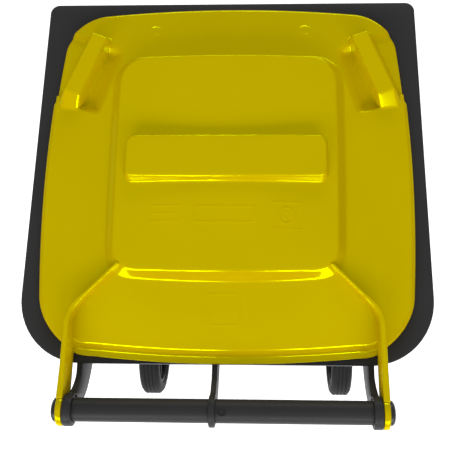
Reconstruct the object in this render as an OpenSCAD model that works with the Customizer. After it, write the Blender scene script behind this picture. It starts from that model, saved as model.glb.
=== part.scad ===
// Two-wheeled waste container, about 120 litres: moulded body with a comb rim, hinged lid,
// handle bar held in three brackets, plug-in hinge pins, steel axle and snap-on wheels.
// Millimetres. +Z is up, the front faces -Y and the handle is on the +Y side.
// The origin is on the ground, under the centre of the bounding box.

/* [Rim] */
// Width across the rim
rim_w = 480; // [440:5:520]
// Depth of the rim, front edge to rear edge
rim_d = 460; // [420:1:500]
// Height of the rim's top face above the ground
rim_z = 885; // [780:5:980]
// Thickness of the rim plate and of its turned-down lip
rim_t = 4; // [3:0.5:6]
// Radius of the rim's two front corners
rim_front_r = 12; // [6:1:30]
// Radius of the rim's two rear corners
rim_rear_r = 76; // [50:1:90]
// Depth of the comb lip that a lifter grips at the front
comb_lip_h = 62; // [50:1:75]
// Depth of the lip on the other three sides
side_lip_h = 24; // [16:1:34]

/* [Container] */
// Wall thickness of the container
wall = 4; // [3:0.5:6]
// Rim overhang past the container wall at each side
side_overhang = 32; // [26:1:38]
// Rim overhang past the front wall
front_overhang = 38; // [32:1:46]
// Rim overhang past the rear wall
rear_overhang = 19; // [14:1:24]
// Radius of the container's upright corners
body_r = 45; // [30:1:60]
// Height of the straight collar under the rim
collar_h = 140; // [100:5:200]
// Step in from the collar to the tapered wall
collar_step = 6; // [3:0.5:9]
// How far each side wall comes in from the collar to the base
side_taper = 44; // [36:1:52]
// How far the front wall comes in
front_taper = 32; // [24:1:44]
// How far the rear wall comes in
rear_taper = 14; // [8:1:20]
// Height of the container's floor above the ground
floor_z = 18; // [12:1:26]
// Depth of the front foot, front to rear
foot_d = 26; // [18:1:36]

/* [Handle] */
// Outside diameter of the handle bar
bar_d = 25; // [24:0.5:32]
// Gap from the rim's rear edge to the hinge axis
hinge_gap = 49; // [44:1:56]
// Height of the hinge axis above the rim's top face
hinge_rise = 15; // [10:1:22]
// Distance from the rim's side edge in to an end bracket's outer face
handle_inset = 68.5; // [64:0.5:80]
// Thickness of an end bracket
bracket_t = 10; // [7:0.5:12]
// Radius of a bracket's eye around the bar
eye_r = 17.5; // [17:0.5:21]
// Sideways place of the middle bracket
mid_bracket_x = 11; // [0:1:30]
// Thickness of the middle bracket
mid_bracket_t = 7; // [5:0.5:9]

/* [Hinge pins] */
// Diameter of a hinge pin's shank
pin_d = 18; // [16:0.5:20]
// Diameter of a hinge pin's domed head
pin_head_d = 26.5; // [26:0.5:32]
// Thickness of a hinge pin's head
pin_head_t = 6; // [4:0.2:7]

/* [Lid] */
// Gap from the rim's side edge to the lid at its widest
lid_side_gap = 17; // [12:1:26]
// Gap from the rim's front edge to the lid
lid_front_gap = 14; // [8:1:20]
// Gap from the rim's rear edge to the lid
lid_rear_gap = 1; // [1:0.5:6]
// Wall thickness of the lid
lid_t = 3; // [2.5:0.25:4]
// Height of the lid's upright edge
lid_edge_h = 8; // [6:0.5:12]
// Height of the raised plateau's top above the rim
plateau_rise = 39; // [34:0.5:44]
// Height of the small raised panel above the plateau
panel_rise = 6; // [3:0.5:9]
// Thickness of a hinge arm
arm_t = 6.8; // [5:0.2:8]
// Radius of a hinge arm's end around its pin
arm_eye_r = 19; // [18:0.5:22]
// Height of a corner grip above the lid's slope
grip_h = 19; // [14:1:24]

/* [Wheels and axle] */
// Outside diameter of the tyres
wheel_d = 200; // [190:5:210]
// Width of a tyre across its flanks
tyre_w = 46; // [40:1:50]
// Width of the flat tread
tread_w = 31; // [24:1:36]
// Distance from the rim's side edge in to a wheel's middle
wheel_inset = 35; // [32:1:38]
// Diameter of the axle
axle_d = 20; // [18:0.5:24]
// Distance from the rim's rear edge forward to the axle
axle_inset = 55; // [50:1:62]

/* [Clearances] */
// Gap between parts that turn or only rest on each other
rest_gap = 0.3; // [0.2:0.05:0.5]
// Radial clearance of a running fit
run_gap = 0.08; // [0.03:0.01:0.1]

/* [Hidden] */
$fn = 64;
corner_steps = 8;   // straight facets in each rounded corner of a loft
edge_steps = 6;     // stretches in each side of a loft

// Places that follow from the driving sizes
total_d = rim_d + hinge_gap + arm_eye_r;
y_front = -total_d / 2;
y_rear = y_front + rim_d;
hinge_y = y_rear + hinge_gap;
hinge_z = rim_z + hinge_rise;
axle_y = y_rear - axle_inset;
axle_z = wheel_d / 2;

// Container walls under the rim
throat_hw = rim_w / 2 - side_overhang;
throat_yf = y_front + front_overhang;
throat_yr = y_rear - rear_overhang;
collar_z = rim_z - collar_h;
shoulder_h = 9;
floor_round = 9;
base_r = body_r - 4;

// Recess under the rear of the container, where the axle runs
recess_y = axle_y - 56;
recess_z = wheel_d * 0.9;
recess_slope = 0.55;
rib_t = 5;
rib_outer_x = throat_hw - collar_step - side_taper + 2;
rib_inner_x = 57;
axle_eye_r = axle_d / 2 + 12;

// Handle
bracket_x = rim_w / 2 - handle_inset;
bracket_drop = 57;
bar_bore_r = pin_d / 2 + 0.1;
dimple_r = 4.6;
dimple_depth = 1.6;

// Hinge pins
shank_len = 39;
barb_from_end = 9;
barb_w = 3;
barb_h = 0.8;

// Lid outline and levels
lid_z = rim_z + rest_gap;
lid_yf = y_front + lid_front_gap;
lid_yr = y_rear - lid_rear_gap;
lid_w = rim_w - 2 * lid_side_gap;
side_bow = 14;
end_bow = 16;
lid_front_r = 60;
lid_rear_r = 60;
lid_slope_z = lid_z + lid_edge_h + 5;
plateau_hw = rim_w / 2 - 104;
plateau_foot_z = rim_z + plateau_rise - 12;
plateau_z = rim_z + plateau_rise;
panel_z = plateau_z + panel_rise;
arm_x = bracket_x + rest_gap;
arm_z = hinge_z + arm_eye_r;
bend_z = arm_z - 3;
arm_bend = [arm_x + arm_t / 2, y_rear - 57];
rib_end = [plateau_hw - 15, y_rear - 109];
rib_w = 5.5;

// Wheel, measured from the wheel's middle plane outwards
hub_hl = 24;
hub_r = axle_d / 2 + 9;
rim_seat_r = wheel_d / 2 - 24;
web_ht = 2.5;
spoke_n = 8;
spoke_t = 4;
lock_w = 12;
lock_r = 3.9;
lock_tip = axle_d / 2 - 1.6;
lock_len = 8.6;
lock_boss_r = 8;
lock_top = axle_d / 2 + 16;
groove_r = axle_d / 2 - 2;
spring_r = 3;
spring_wire = 0.45;
spring_turns = 5;
cap_r = hub_r + 7;
cap_t = 3;

// ---------- outlines and lofts ----------

function arc(cx, cy, r, from, to) =
    [for (i = [0:corner_steps]) let (a = from + (to - from) * i / corner_steps)
        [cx + r * cos(a), cy + r * sin(a)]];

function stretch(a, b) = [for (i = [1:edge_steps - 1]) a + (b - a) * i / edge_steps];

// A rounded rectangle with its own front and rear corner radii, counter-clockwise.
function plain_outline(hw, yf, yr, rf, rr) = concat(
    arc(hw - rr, yr - rr, rr, 0, 90),
    stretch([hw - rr, yr], [-hw + rr, yr]),
    arc(-hw + rr, yr - rr, rr, 90, 180),
    stretch([-hw, yr - rr], [-hw, yf + rf]),
    arc(-hw + rf, yf + rf, rf, 180, 270),
    stretch([-hw + rf, yf], [hw - rf, yf]),
    arc(hw - rf, yf + rf, rf, 270, 360),
    stretch([hw, yf + rf], [hw, yr - rr]));

// The same outline with its sides bowed out by bx and its ends by by.
function outline(hw, yf, yr, rf, rr, bx = 0, by = 0) =
    let (yc = (yf + yr) / 2, hd = (yr - yf) / 2)
    [for (p = plain_outline(hw, yf, yr, rf, rr)) let (u = p.x / hw, v = (p.y - yc) / hd)
        [p.x + bx * u * (1 - v * v), p.y + by * v * (1 - u * u)]];

function ring(z, pts) = [for (p = pts) [p.x, p.y, z]];

function middle(pts) = [for (k = [0:2]) sum([for (p = pts) p[k]]) / len(pts)];

function sum(v, i = 0) = i == len(v) ? 0 : v[i] + sum(v, i + 1);

// A closed solid through rings of equally many points, from the lowest to the highest.
module loft(rings) {
    n = len(rings[0]);
    last = len(rings) - 1;
    low = (last + 1) * n;
    sides = [for (k = [0:last - 1]) for (i = [0:n - 1]) let (
        j = (i + 1) % n, a = k * n + i, b = k * n + j, c = a + n, d = b + n)
        each [[a, c, d], [a, d, b]]];
    caps = [for (i = [0:n - 1]) let (j = (i + 1) % n)
        each [[low, i, j], [low + 1, last * n + j, last * n + i]]];
    polyhedron(concat([for (r = rings) each r], [middle(rings[0]), middle(rings[last])]),
        concat(sides, caps));
}

// A flat profile given as [y, z] points, drawn as a plate from x0 to x0 + t.
module yz_plate(x0, t, pts) {
    translate([x0, 0, 0]) rotate([90, 0, 90]) linear_extrude(t) polygon(pts);
}

// A cylinder along X from x0 to x1, about the line at y and z.
module x_rod(x0, x1, y, z, r) {
    translate([x0, y, z]) rotate([0, 90, 0]) cylinder(h = x1 - x0, r = r);
}

// Children drawn for the right side (+X) are mirrored for the left.
module on_side(side) {
    if (side > 0) children();
    else mirror([1, 0, 0]) children();
}

module both_sides() {
    for (side = [1, -1]) on_side(side) children();
}

// ---------- body ----------

// One ring of the container wall, brought in by `inset` for the inner face.
// t runs from 0 at the collar's foot to 1 at the base.
function wall_ring(z, t, step, inset) = ring(z, outline(
    throat_hw - step - side_taper * t - inset,
    throat_yf + step + front_taper * t + inset,
    throat_yr - step - rear_taper * t - inset,
    (body_r + (base_r - body_r) * t) - inset,
    (body_r + (base_r - body_r) * t) - inset));

module container_solid(inset, bottom, top) {
    foot_in = inset > 0 ? 0 : floor_round * 0.7;
    loft([
        wall_ring(bottom, 1, collar_step, inset + foot_in),
        wall_ring(bottom + floor_round, 1, collar_step, inset),
        wall_ring(collar_z, 0, collar_step, inset),
        wall_ring(collar_z + shoulder_h, 0, 0, inset),
        wall_ring(top, 0, 0, inset)
    ]);
}

// The space under the rear, grown by `grow` for the wall around it.
module axle_recess(grow) {
    y0 = recess_y - grow;
    z0 = recess_z + grow * sqrt(1 + recess_slope * recess_slope);
    far = throat_yr + 60;
    yz_plate(-rim_w / 2, rim_w, [
        [y0, -10], [far, -10], [far, z0 + (far - y0) * recess_slope], [y0, z0]
    ]);
}

module rim_lip() {
    rim = outline(rim_w / 2, y_front, y_rear, rim_front_r, rim_rear_r);
    inner = outline(rim_w / 2 - rim_t, y_front + rim_t, y_rear - rim_t,
        rim_front_r - rim_t, rim_rear_r - rim_t);
    translate([0, 0, rim_z - rim_t]) linear_extrude(rim_t) polygon(rim);
    intersection() {
        translate([0, 0, rim_z - comb_lip_h]) linear_extrude(comb_lip_h) difference() {
            polygon(rim);
            polygon(inner);
        }
        yz_plate(-rim_w / 2, rim_w, [
            [y_front, rim_z - comb_lip_h], [y_front + 46, rim_z - comb_lip_h],
            [y_front + 90, rim_z - side_lip_h], [y_rear, rim_z - side_lip_h],
            [y_rear, rim_z], [y_front, rim_z]
        ]);
    }
}

// Webs between the container wall and the lip: four behind the comb, four down each side.
module rim_webs() {
    web_t = 4;
    for (x = [-150, -50, 50, 150])
        translate([x - web_t / 2, y_front + rim_t / 2, rim_z - comb_lip_h + 8])
            cube([web_t, front_overhang, comb_lip_h - 8 - rim_t / 2]);
    both_sides() for (k = [0:3])
        translate([throat_hw - wall / 2, y_front + 110 + k * (rim_d - 230) / 3, rim_z - side_lip_h + 2])
            cube([side_overhang, web_t, side_lip_h - 2 - rim_t / 2]);
}

// A plate from the rear wall to the hinge axis, with an eye for the bar.
module bracket(x0, t) {
    wall_y = throat_yr - wall / 2;
    yz_plate(x0, t, [
        [wall_y, rim_z - bracket_drop],
        [hinge_y - 20, rim_z - bracket_drop + 20],
        [hinge_y - 3, hinge_z - eye_r + 0.5],
        [hinge_y - 3, hinge_z + eye_r - 0.5],
        [hinge_y - 16, hinge_z + eye_r - 12],
        [hinge_y - 32, rim_z - rim_t / 2],
        [wall_y, rim_z - rim_t / 2]
    ]);
    x_rod(x0, x0 + t, hinge_y, hinge_z, eye_r);
}

module brackets() {
    both_sides() bracket(bracket_x - bracket_t, bracket_t);
    bracket(mid_bracket_x - mid_bracket_t / 2, mid_bracket_t);
}

// The recess's front wall is also the root of the four ribs that carry the axle.
module axle_ribs() {
    for (x = [rib_outer_x, rib_inner_x]) both_sides() {
        yz_plate(x - rib_t, rib_t, [
            [recess_y - wall / 2, axle_z - 66], [axle_y - 4, axle_z - axle_eye_r + 1],
            [axle_y + 4, axle_z + axle_eye_r - 1],
            [axle_y - 20, recess_z + 18], [recess_y - wall / 2, recess_z - 2]
        ]);
        x_rod(x - rib_t, x, axle_y, axle_z, axle_eye_r);
    }
}

module front_foot() {
    foot_y = throat_yf + collar_step + front_taper + floor_round;
    foot_hw = throat_hw - side_taper - base_r;
    translate([-foot_hw, foot_y, 0]) cube([2 * foot_hw, foot_d, floor_z + 1]);
}

module body() {
    color("#39393b") difference() {
        union() {
            difference() {
                container_solid(0, floor_z, rim_z);
                axle_recess(0);
            }
            rim_lip();
            rim_webs();
            brackets();
            axle_ribs();
            front_foot();
        }
        difference() {
            container_solid(wall, floor_z + wall, rim_z + 1);
            axle_recess(wall);
        }
        x_rod(-rim_w / 2, rim_w / 2, hinge_y, hinge_z, bar_d / 2 + 0.1);
        x_rod(-rim_w / 2, rim_w / 2, axle_y, axle_z, axle_d / 2 + 0.1);
    }
}

// ---------- handle bar and hinge pins ----------

module handle_bar() {
    barb_x = bracket_x - shank_len + pin_head_gap() + barb_from_end;
    color("#313133") difference() {
        x_rod(-bracket_x, bracket_x, hinge_y, hinge_z, bar_d / 2);
        x_rod(-bracket_x - 1, bracket_x + 1, hinge_y, hinge_z, bar_bore_r);
        both_sides() x_rod(barb_x - 0.4, barb_x + barb_w + 0.4, hinge_y, hinge_z,
            pin_d / 2 + barb_h + 0.3);
        translate([0, hinge_y, hinge_z + bar_d / 2 - dimple_depth])
            difference() {
                cylinder(h = bar_d, r = dimple_r);
                cylinder(h = 0.7, r = dimple_r / 3);
            }
    }
}

// Distance from the bracket's outer face to the pin head's inner face.
function pin_head_gap() = arm_t + 2 * rest_gap;

module hinge_pin(side) {
    r = pin_d / 2;
    head = pin_head_d / 2;
    barb = barb_from_end;
    color("#1c1c1e") on_side(side)
        translate([bracket_x + pin_head_gap() - shank_len, hinge_y, hinge_z])
            rotate([0, 90, 0]) rotate_extrude() polygon(concat(
                [[r - 3, 0], [r - 1, 0], [r, 2], [r, barb], [r + barb_h, barb + barb_w - 0.6],
                 [r + barb_h, barb + barb_w], [r, barb + barb_w], [r, shank_len], [head, shank_len]],
                [for (a = [0:15:90]) [head - 2.5 * (1 - cos(a)) - 4 * (1 - cos(a)),
                    shank_len + 1.4 + (pin_head_t - 1.4) * sin(a)]],
                [[0, shank_len + pin_head_t], [0, shank_len], [r - 3, shank_len]]));
}

// ---------- lid ----------

// The lid's rings, brought in by t and lowered by t for the inner face.
function lid_outline(inset) = outline(
    lid_w / 2 - side_bow - inset, lid_yf + end_bow + inset, lid_yr - end_bow - inset,
    lid_front_r - inset, lid_rear_r - inset, side_bow, end_bow);

function plateau_outline(hw, yf, yr) = outline(hw, yf, yr, 34, 30);

function plateau_foot(t) = plateau_outline(plateau_hw + 10 - t, y_front + 91 + t, y_rear - 89 - t);

function plateau_top(t) = plateau_outline(plateau_hw - t, y_front + 99 + t, y_rear - 106 - t);

module lid_solid(t, bottom) {
    loft([
        ring(bottom, lid_outline(t)),
        ring(lid_z + lid_edge_h - t, lid_outline(t)),
        ring(lid_slope_z - 1.5 - t, lid_outline(2 + t)),
        ring(lid_slope_z - t, lid_outline(7 + t)),
        ring(plateau_foot_z - t, plateau_foot(t)),
        ring(plateau_z - 1 - t, plateau_top(t)),
        ring(plateau_z - t, plateau_top(t + 8))
    ]);
}

module panel(t) {
    foot = outline(120 - t, y_front + 201 + t, y_front + 261 - t, 16, 16);
    top = outline(plateau_hw - 19 - t, y_front + 203 + t, y_front + 253 - t, 14, 14);
    loft([ring(plateau_z - 2 - t, foot), ring(plateau_z - t, foot), ring(panel_z - t, top)]);
}

// Frame of a corner grip: its length runs along Y, turned to follow the lid's corner.
module grip_frame() {
    translate([rim_w / 2 - 62, y_front + 102, 0]) rotate(-21) children();
}

// The raised grip, hollow from below when it is drawn again with t = lid_t.
module grip_bar(t, bottom) {
    hl = 43;
    loft([
        ring(bottom, outline(12 - t, -hl - 4 + t, hl + 14 - t, 5, 5)),
        ring(lid_slope_z + 3 - t, outline(12 - t, -hl - 4 + t, hl + 14 - t, 5, 5)),
        ring(lid_slope_z + grip_h - 1.5 - t, outline(10.5 - t, -hl + t, hl - t, 4, 4)),
        ring(lid_slope_z + grip_h - t, outline(9 - t, 1.5 - hl + t, hl - 1.5 - t, 3, 3))
    ]);
}

// The finger recess on one side of a grip, grown by `grow` for the wall around it.
module grip_recess(x, y, hw, hl, bottom, top, grow) {
    translate([x, y, 0]) loft([
        ring(bottom - grow, outline(hw * 0.6 + grow, -hl + 6 - grow, hl - 6 + grow, hw / 2, hw / 2)),
        ring(top, outline(hw + grow, -hl - grow, hl + grow, hw * 0.8, hw * 0.8))
    ]);
}

// The deep recess on the inner side and the shallow one on the outer side.
module grip_recesses(grow, top) {
    grip_frame() grip_recess(-22, 10, 11, 42, lid_slope_z - 5, top, grow);
    grip_frame() grip_recess(19, 2, 8, 40, lid_slope_z - 6, top, grow);
}

// The arm's plate over the lid's rear edge and its eye on the hinge axis.
module hinge_arm() {
    yz_plate(arm_x, arm_t, [
        [arm_bend.y, rim_z + 1], [hinge_y - 32, rim_z + 1], [hinge_y - 8, hinge_z - arm_eye_r + 2],
        [hinge_y, arm_z], [arm_bend.y, bend_z]
    ]);
    x_rod(arm_x, arm_x + arm_t, hinge_y, hinge_z, arm_eye_r);
}

// The rib that carries the arm's load up to the corner of the plateau.
module lid_rib() {
    run = rib_end - arm_bend;
    length = norm(run);
    translate([arm_bend.x, arm_bend.y, 0]) rotate(atan2(run.y, run.x))
        translate([0, rib_w / 2, 0]) rotate([90, 0, 0]) linear_extrude(rib_w) polygon([
            [-2, lid_slope_z - lid_t], [length, plateau_foot_z + 2],
            [length, plateau_z - 1], [0, bend_z], [-2, bend_z]
        ]);
}

module lid() {
    recess_top = plateau_foot_z;
    color("#c9b400") difference() {
        union() {
            difference() {
                union() {
                    lid_solid(0, lid_z);
                    panel(0);
                }
                lid_solid(lid_t, lid_z - 1);
                panel(lid_t);
            }
            intersection() {
                both_sides() grip_recesses(lid_t, recess_top);
                lid_solid(lid_t / 2, lid_z + 1);
            }
            both_sides() grip_frame() grip_bar(0, lid_slope_z - 8);
            both_sides() hinge_arm();
            both_sides() lid_rib();
        }
        both_sides() grip_recesses(0, recess_top + 1);
        both_sides() grip_frame() grip_bar(lid_t, lid_z - 1);
        x_rod(-rim_w / 2, rim_w / 2, hinge_y, hinge_z, pin_d / 2 + run_gap);
    }
}

// ---------- axle and wheels ----------

wheel_x = rim_w / 2 - wheel_inset;
lock_x = wheel_x + lock_w;
axle_end = wheel_x + hub_hl - 3;

module axle() {
    r = axle_d / 2;
    half_groove = lock_r + 0.7;
    color("silver") translate([0, axle_y, axle_z]) rotate([0, 90, 0]) difference() {
        translate([0, 0, -axle_end]) cylinder(h = 2 * axle_end, r = r);
        for (side = [1, -1]) translate([0, 0, side * lock_x]) difference() {
            cylinder(h = 2 * half_groove, r = r + 1, center = true);
            cylinder(h = 2 * half_groove + 1, r = groove_r, center = true);
        }
    }
}

module axle_spacer(side) {
    color("#2a2a2c") on_side(side) translate([rib_outer_x + rest_gap, axle_y, axle_z])
        rotate([0, 90, 0]) difference() {
            length = wheel_x - hub_hl - rib_outer_x - 2 * rest_gap;
            cylinder(h = length, r = axle_d / 2 + 5);
            translate([0, 0, -1]) cylinder(h = length + 2, r = axle_d / 2 + run_gap);
        }
}

// Children drawn about +Z, with +Z outwards, are set on the wheel's place on one side.
module at_wheel(side) {
    on_side(side) translate([wheel_x, axle_y, axle_z]) rotate([0, 90, 0]) children();
}

module wheel_section() {
    seat_hw = tyre_w / 2 - 5;
    polygon([
        [axle_d / 2 + run_gap, -hub_hl], [hub_r, -hub_hl], [hub_r + 2, -web_ht],
        [rim_seat_r - 7, -web_ht], [rim_seat_r - 5, -seat_hw], [rim_seat_r + 2, -seat_hw],
        [rim_seat_r + 2, -seat_hw + 3], [rim_seat_r, -seat_hw + 5],
        [rim_seat_r, seat_hw - 5], [rim_seat_r + 2, seat_hw - 3], [rim_seat_r + 2, seat_hw],
        [rim_seat_r - 5, seat_hw], [rim_seat_r - 7, web_ht], [hub_r + 2, web_ht],
        [hub_r, hub_hl], [axle_d / 2 + run_gap, hub_hl]
    ]);
}

module wheel(side) {
    spoke_len = rim_seat_r - 5 - hub_r;
    color("#242426") at_wheel(side) difference() {
        union() {
            rotate_extrude() wheel_section();
            for (k = [0:spoke_n - 1]) rotate(360 / spoke_n * (k + 0.5))
                translate([hub_r - 1, -spoke_t / 2, -12]) cube([spoke_len, spoke_t, 24]);
            translate([0, 0, lock_w]) rotate([0, -90, 0]) cylinder(h = lock_top + 3, r = lock_boss_r);
        }
        translate([0, 0, -hub_hl - 1]) cylinder(h = 2 * hub_hl + 2, r = axle_d / 2 + run_gap);
        translate([0, 0, lock_w]) rotate([0, -90, 0]) cylinder(h = lock_top, r = lock_r + 0.2);
    }
}

module tyre_section() {
    r = wheel_d / 2;
    seat_hw = tyre_w / 2 - 5;
    groove = 1.6;
    polygon([
        [rim_seat_r + rest_gap, -seat_hw + 5.3], [rim_seat_r + 2 + rest_gap, -seat_hw + 3],
        [rim_seat_r + 2 + rest_gap, -tyre_w / 2 + 3], [rim_seat_r + 5, -tyre_w / 2 + 1],
        [r - 12, -tyre_w / 2], [r - 6, -tyre_w / 2 + 1.5], [r - 1.5, -tread_w / 2 - 1.5],
        [r, -tread_w / 2 + 1],
        [r, -6 - groove], [r - 2, -6], [r, -6 + groove],
        [r, 6 - groove], [r - 2, 6], [r, 6 + groove],
        [r, tread_w / 2 - 1], [r - 1.5, tread_w / 2 + 1.5],
        [r - 6, tyre_w / 2 - 1.5], [r - 12, tyre_w / 2], [rim_seat_r + 5, tyre_w / 2 - 1],
        [rim_seat_r + 2 + rest_gap, tyre_w / 2 - 3], [rim_seat_r + 2 + rest_gap, seat_hw - 3],
        [rim_seat_r + rest_gap, seat_hw - 5.3]
    ]);
}

module tyre(side) {
    color("#19191a") at_wheel(side) rotate_extrude($fn = 128) tyre_section();
}

module lock_pin(side) {
    color("#b8b8bc") on_side(side) translate([lock_x, axle_y, axle_z + lock_tip])
        cylinder(h = lock_len, r = lock_r);
}

// One closed coil, swept with a six-sided wire.
module lock_spring(side) {
    bottom = axle_z + lock_tip + lock_len + rest_gap + spring_wire;
    top = axle_z + lock_top - rest_gap - spring_wire;
    per_turn = 12;
    wire_sides = 6;
    steps = spring_turns * per_turn;
    pts = [for (i = [0:steps]) for (k = [0:wire_sides - 1]) let (
        a = 360 * i / per_turn, b = 360 * k / wire_sides,
        rr = spring_r + spring_wire * cos(b))
        [rr * cos(a), rr * sin(a), bottom + (top - bottom) * i / steps + spring_wire * sin(b)]];
    sides = [for (i = [0:steps - 1]) for (k = [0:wire_sides - 1]) let (
        m = (k + 1) % wire_sides, p = i * wire_sides + k, q = i * wire_sides + m)
        each [[p, p + wire_sides, q + wire_sides], [p, q + wire_sides, q]]];
    first_cap = [for (k = [0:wire_sides - 1]) k];
    last_cap = [for (k = [wire_sides - 1:-1:0]) steps * wire_sides + k];
    color("#8c8c90") on_side(side) translate([lock_x, axle_y, 0])
        polyhedron(pts, concat(sides, [first_cap, last_cap]));
}

module hub_cap(side) {
    skirt = 3.5;
    inner_r = hub_r + 2 * rest_gap;
    color("#2c2c2e") at_wheel(side) translate([0, 0, hub_hl + rest_gap - skirt]) rotate_extrude()
        polygon([
            [inner_r, 0], [inner_r + 2, 0], [inner_r + 2, skirt - 1], [cap_r, skirt - 1],
            [cap_r, skirt + 0.6], [cap_r - 3, skirt + cap_t - 0.4], [cap_r - 8, skirt + cap_t],
            [0, skirt + cap_t], [0, skirt], [inner_r, skirt]
        ]);
}

// ---------- drawing ----------

body();
handle_bar();
hinge_pin(-1);  // hinge_pin_left
hinge_pin(1);  // hinge_pin_right
lid();
axle();
axle_spacer(-1);  // axle_spacer_left
axle_spacer(1);  // axle_spacer_right
wheel(-1);  // wheel_left
wheel(1);  // wheel_right
tyre(-1);  // tyre_left
tyre(1);  // tyre_right
lock_pin(-1);  // lock_pin_left
lock_pin(1);  // lock_pin_right
lock_spring(-1);  // lock_spring_left
lock_spring(1);  // lock_spring_right
hub_cap(-1);  // hub_cap_left
hub_cap(1);  // hub_cap_right
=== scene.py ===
import math

import bmesh
import bpy
import numpy as np
from mathutils import Matrix, Vector


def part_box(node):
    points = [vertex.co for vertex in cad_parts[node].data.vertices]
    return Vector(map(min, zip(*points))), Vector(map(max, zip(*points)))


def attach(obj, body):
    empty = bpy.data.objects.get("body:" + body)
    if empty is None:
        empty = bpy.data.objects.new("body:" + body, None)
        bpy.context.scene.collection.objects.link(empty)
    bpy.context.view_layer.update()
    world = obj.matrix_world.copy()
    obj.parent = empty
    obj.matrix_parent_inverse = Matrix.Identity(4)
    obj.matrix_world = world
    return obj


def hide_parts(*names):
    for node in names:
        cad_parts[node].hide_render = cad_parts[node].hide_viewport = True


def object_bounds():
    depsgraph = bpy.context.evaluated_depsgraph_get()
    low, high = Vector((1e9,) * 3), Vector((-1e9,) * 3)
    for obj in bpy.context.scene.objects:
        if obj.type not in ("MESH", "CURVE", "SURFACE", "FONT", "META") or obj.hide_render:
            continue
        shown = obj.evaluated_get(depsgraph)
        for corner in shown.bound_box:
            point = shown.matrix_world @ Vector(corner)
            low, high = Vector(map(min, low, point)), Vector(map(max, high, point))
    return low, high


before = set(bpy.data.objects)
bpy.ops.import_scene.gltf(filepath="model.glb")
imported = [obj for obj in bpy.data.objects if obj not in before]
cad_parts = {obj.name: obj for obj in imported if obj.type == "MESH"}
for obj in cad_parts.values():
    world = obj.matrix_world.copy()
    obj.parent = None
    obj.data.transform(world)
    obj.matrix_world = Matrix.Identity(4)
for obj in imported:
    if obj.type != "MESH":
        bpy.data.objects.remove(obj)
cad_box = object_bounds()

MM = 0.001


# ---------------------------------------------------------------- camera
# The object is seen from behind and above: image right is -X, image down is +Y.

# From the ground under the middle of the bin, in metres.
CAMERA_OFFSET = (-0.0500, 0.2136, 1.6748)
CAMERA_PITCH = math.radians(16.71)
CAMERA_YAW = math.radians(-1.96)
CAMERA_ROLL = math.radians(-0.02)
SENSOR_WIDTH = 36.0
FOCAL_LENGTH = 52.100426
CAMERA_SHIFT = (-0.022340426, -0.12340426)


def make_camera():
    lo, hi = cad_box
    centre = (lo + hi) / 2
    dx, dy, dz = CAMERA_OFFSET
    place = Vector((centre.x + dx, centre.y + dy, lo.z + dz))
    pitch, yaw, roll = CAMERA_PITCH, CAMERA_YAW, CAMERA_ROLL
    right, down, ahead = Vector((-1, 0, 0)), Vector((0, 1, 0)), Vector((0, 0, -1))
    ahead, down = (ahead * math.cos(pitch) - down * math.sin(pitch),
                   down * math.cos(pitch) + ahead * math.sin(pitch))
    ahead, right = (ahead * math.cos(yaw) + right * math.sin(yaw),
                    right * math.cos(yaw) - ahead * math.sin(yaw))
    right, down = (right * math.cos(roll) + down * math.sin(roll),
                   down * math.cos(roll) - right * math.sin(roll))
    data = bpy.data.cameras.new("camera")
    data.sensor_width = SENSOR_WIDTH
    data.lens = FOCAL_LENGTH
    data.shift_x, data.shift_y = CAMERA_SHIFT
    data.clip_start, data.clip_end = 0.05, 50
    cam = bpy.data.objects.new("camera", data)
    m = Matrix.Identity(4)
    for i in range(3):
        m[i][0], m[i][1], m[i][2], m[i][3] = right[i], -down[i], -ahead[i], place[i]
    cam.matrix_world = m
    bpy.context.collection.objects.link(cam)
    bpy.context.scene.camera = cam


make_camera()

# ---------------------------------------------------------------- sizes, in millimetres
# Read from the frame's boxes, so that the pieces sit where the CAD puts them.

def mm_box(node):
    lo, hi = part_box(node)
    return [v / MM for v in lo], [v / MM for v in hi]


BODY_LO, BODY_HI = mm_box("body")
LID_LO, LID_HI = mm_box("lid")
BAR_LO, BAR_HI = mm_box("handle_bar")
AXLE_LO, AXLE_HI = mm_box("axle")
TYRE_LO, TYRE_HI = mm_box("tyre_right")

Y_FRONT = BODY_LO[1]
RIM_HW = BODY_HI[0]
REST_GAP = 0.3
LID_Z = LID_LO[2]
RIM_Z = LID_Z - REST_GAP
LID_TOP = LID_HI[2]
HINGE_Y = (BAR_LO[1] + BAR_HI[1]) / 2
HINGE_Z = (BAR_LO[2] + BAR_HI[2]) / 2
BAR_R = (BAR_HI[2] - BAR_LO[2]) / 2
BRACKET_X = BAR_HI[0]
HINGE_BEHIND_RIM = 49
Y_REAR = HINGE_Y - HINGE_BEHIND_RIM
AXLE_Y = (AXLE_LO[1] + AXLE_HI[1]) / 2
AXLE_Z = (AXLE_LO[2] + AXLE_HI[2]) / 2
AXLE_R = (AXLE_HI[2] - AXLE_LO[2]) / 2
WHEEL_X = (TYRE_LO[0] + TYRE_HI[0]) / 2
WHEEL_R = (TYRE_HI[2] - TYRE_LO[2]) / 2
TYRE_HW = (TYRE_HI[0] - TYRE_LO[0]) / 2
FLOOR_Z = cad_box[0].z


# ---------------------------------------------------------------- mesh helpers

def smooth_step(a, b, x):
    """0 at a and 1 at b, with soft ends."""
    t = np.clip((x - a) / (b - a), 0, 1)
    return t * t * (3 - 2 * t)


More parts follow.
